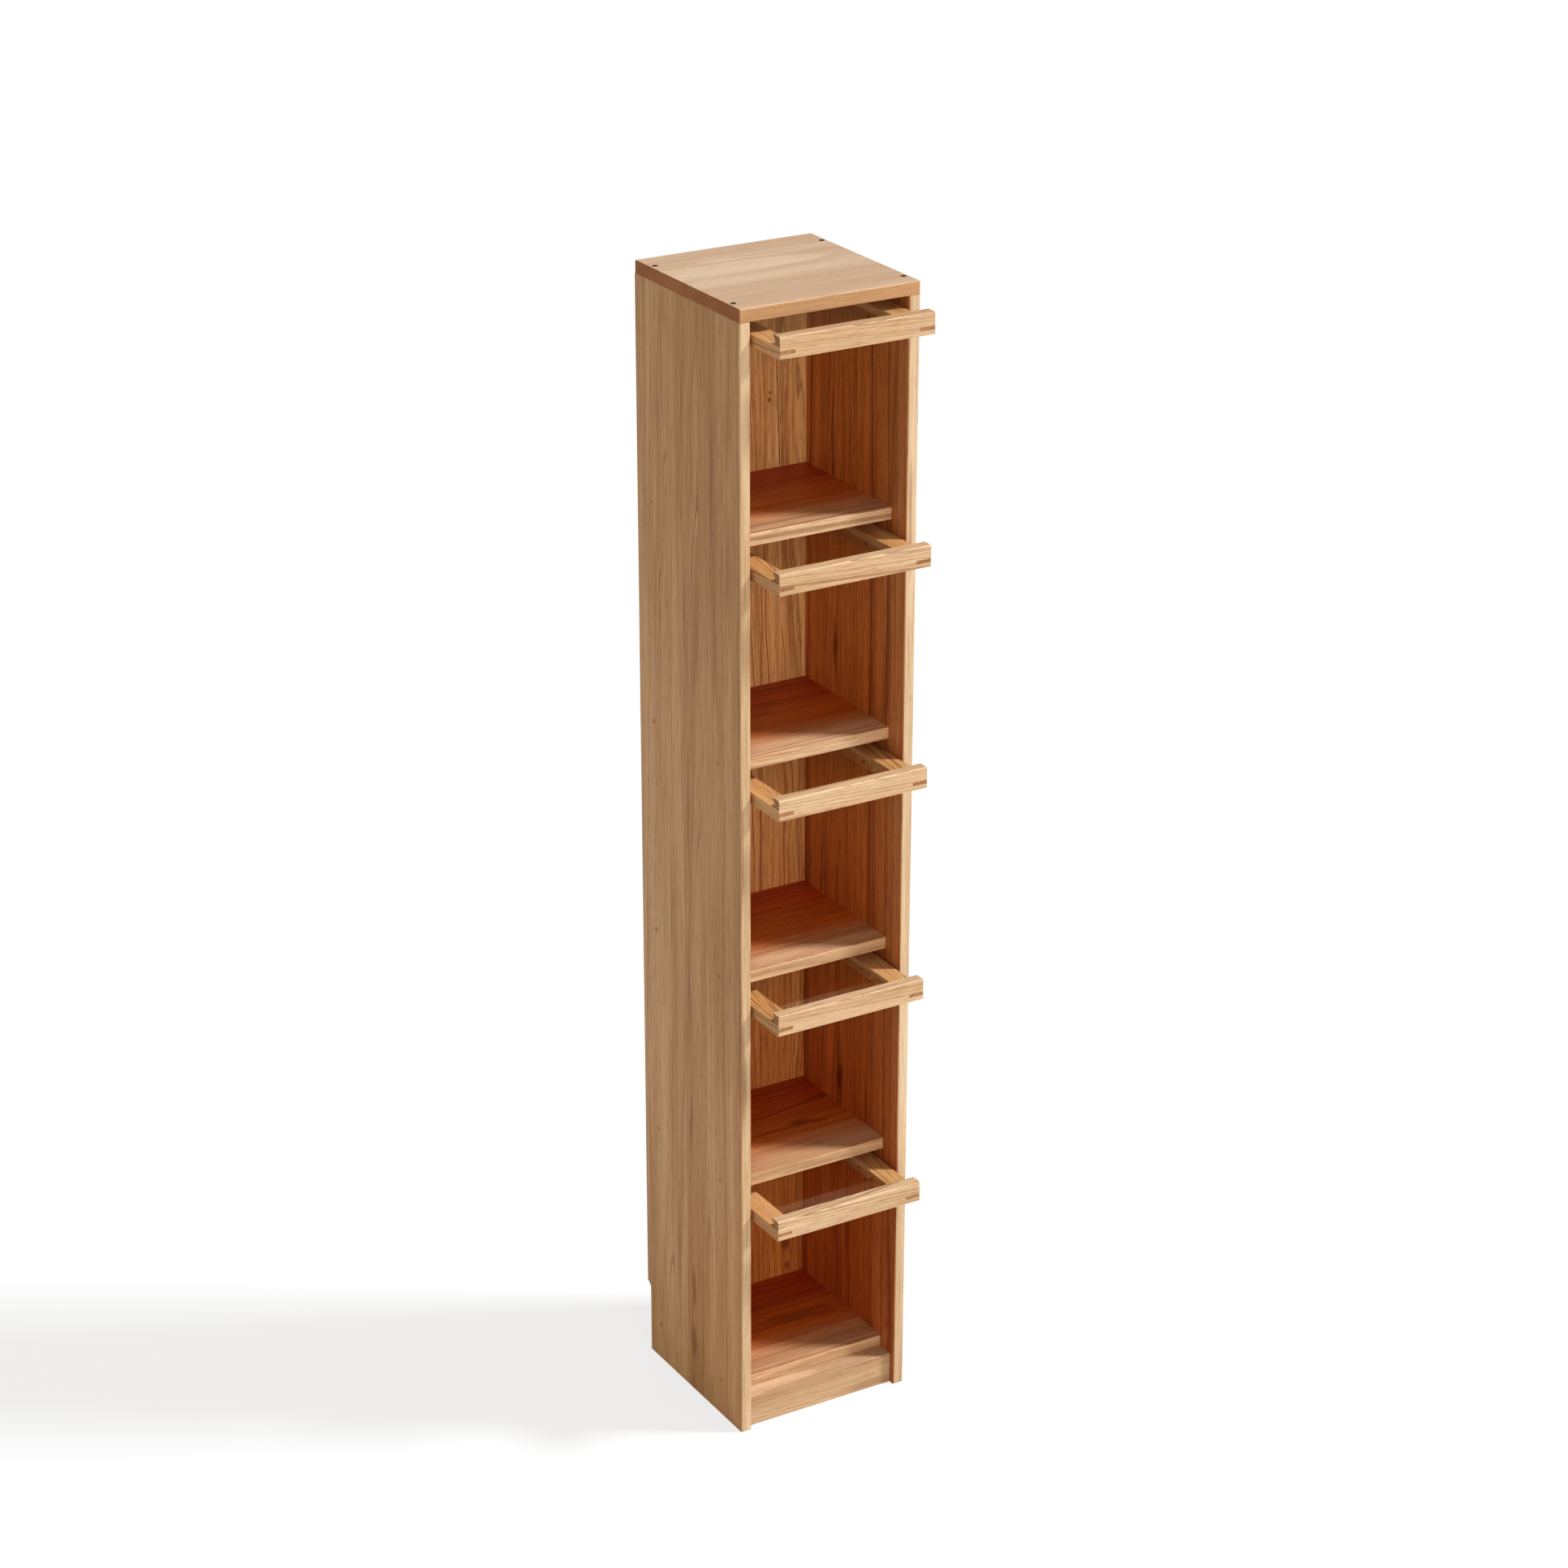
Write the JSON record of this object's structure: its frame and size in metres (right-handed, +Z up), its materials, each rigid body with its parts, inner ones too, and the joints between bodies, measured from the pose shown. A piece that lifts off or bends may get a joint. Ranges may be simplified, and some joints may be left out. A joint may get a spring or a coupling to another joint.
{
  "type": "pantry cabinet",
  "caption": "Tall narrow wooden cabinet with stacked compartments; each glazed door lies flat and slides in under the shelf above it.",
  "frame": {"origin": "on the floor, at the centre of the whole object's outline with its doors pushed in", "axes": "+Z up, -Y towards the open front, +X to the right seen from the front"},
  "size_m": [0.3, 0.378, 1.83],
  "materials": {
    "oak_carcass": "oiled",
    "oak_shelf": "oiled",
    "oak_back": "oiled",
    "oak_door": "oiled",
    "oak_runner": "oiled",
    "oak_plug": "oiled",
    "pane_glass": "clear",
    "screw_steel": "satin",
    "pin_steel": "satin"
  },
  "bodies": {
    "cabinet": {"side_panel_left": "oak_carcass", "side_panel_right": "oak_carcass", "top_panel": "oak_carcass", "shelf_1": "oak_shelf", "shelf_2": "oak_shelf", "shelf_3": "oak_shelf", "shelf_4": "oak_shelf", "bottom_shelf": "oak_shelf", "kick_board": "oak_carcass", "back_board_1": "oak_back", "back_board_2": "oak_back", "back_board_3": "oak_back", "back_board_4": "oak_back", "runner_left_1": "oak_runner", "runner_right_1": "oak_runner", "runner_left_2": "oak_runner", "runner_right_2": "oak_runner", "runner_left_3": "oak_runner", "runner_right_3": "oak_runner", "runner_left_4": "oak_runner", "runner_right_4": "oak_runner", "runner_left_5": "oak_runner", "runner_right_5": "oak_runner", "shelf_screws": "screw_steel", "shelf_plugs": "oak_plug", "top_screws": "screw_steel", "runner_screws": "screw_steel", "back_screws": "screw_steel"},
    "door_1": {"door_1_bottom_rail": "oak_door", "door_1_top_rail": "oak_door", "door_1_left_stile": "oak_door", "door_1_right_stile": "oak_door", "door_1_pane": "pane_glass", "door_1_pins": "pin_steel"},
    "door_2": {"door_2_bottom_rail": "oak_door", "door_2_top_rail": "oak_door", "door_2_left_stile": "oak_door", "door_2_right_stile": "oak_door", "door_2_pane": "pane_glass", "door_2_pins": "pin_steel"},
    "door_3": {"door_3_bottom_rail": "oak_door", "door_3_top_rail": "oak_door", "door_3_left_stile": "oak_door", "door_3_right_stile": "oak_door", "door_3_pane": "pane_glass", "door_3_pins": "pin_steel"},
    "door_4": {"door_4_bottom_rail": "oak_door", "door_4_top_rail": "oak_door", "door_4_left_stile": "oak_door", "door_4_right_stile": "oak_door", "door_4_pane": "pane_glass", "door_4_pins": "pin_steel"},
    "door_5": {"door_5_bottom_rail": "oak_door", "door_5_top_rail": "oak_door", "door_5_left_stile": "oak_door", "door_5_right_stile": "oak_door", "door_5_pane": "pane_glass", "door_5_pins": "pin_steel"}
  },
  "joints": [
    {"name": "door_1_slide", "type": "slide", "parent": "cabinet", "child": "door_1", "axis": [0, -1, 0], "range_m": [0, 0.218]},
    {"name": "door_2_slide", "type": "slide", "parent": "cabinet", "child": "door_2", "axis": [0, -1, 0], "range_m": [0, 0.218]},
    {"name": "door_3_slide", "type": "slide", "parent": "cabinet", "child": "door_3", "axis": [0, -1, 0], "range_m": [0, 0.218]},
    {"name": "door_4_slide", "type": "slide", "parent": "cabinet", "child": "door_4", "axis": [0, -1, 0], "range_m": [0, 0.218]},
    {"name": "door_5_slide", "type": "slide", "parent": "cabinet", "child": "door_5", "axis": [0, -1, 0], "range_m": [0, 0.218]}
  ]
}
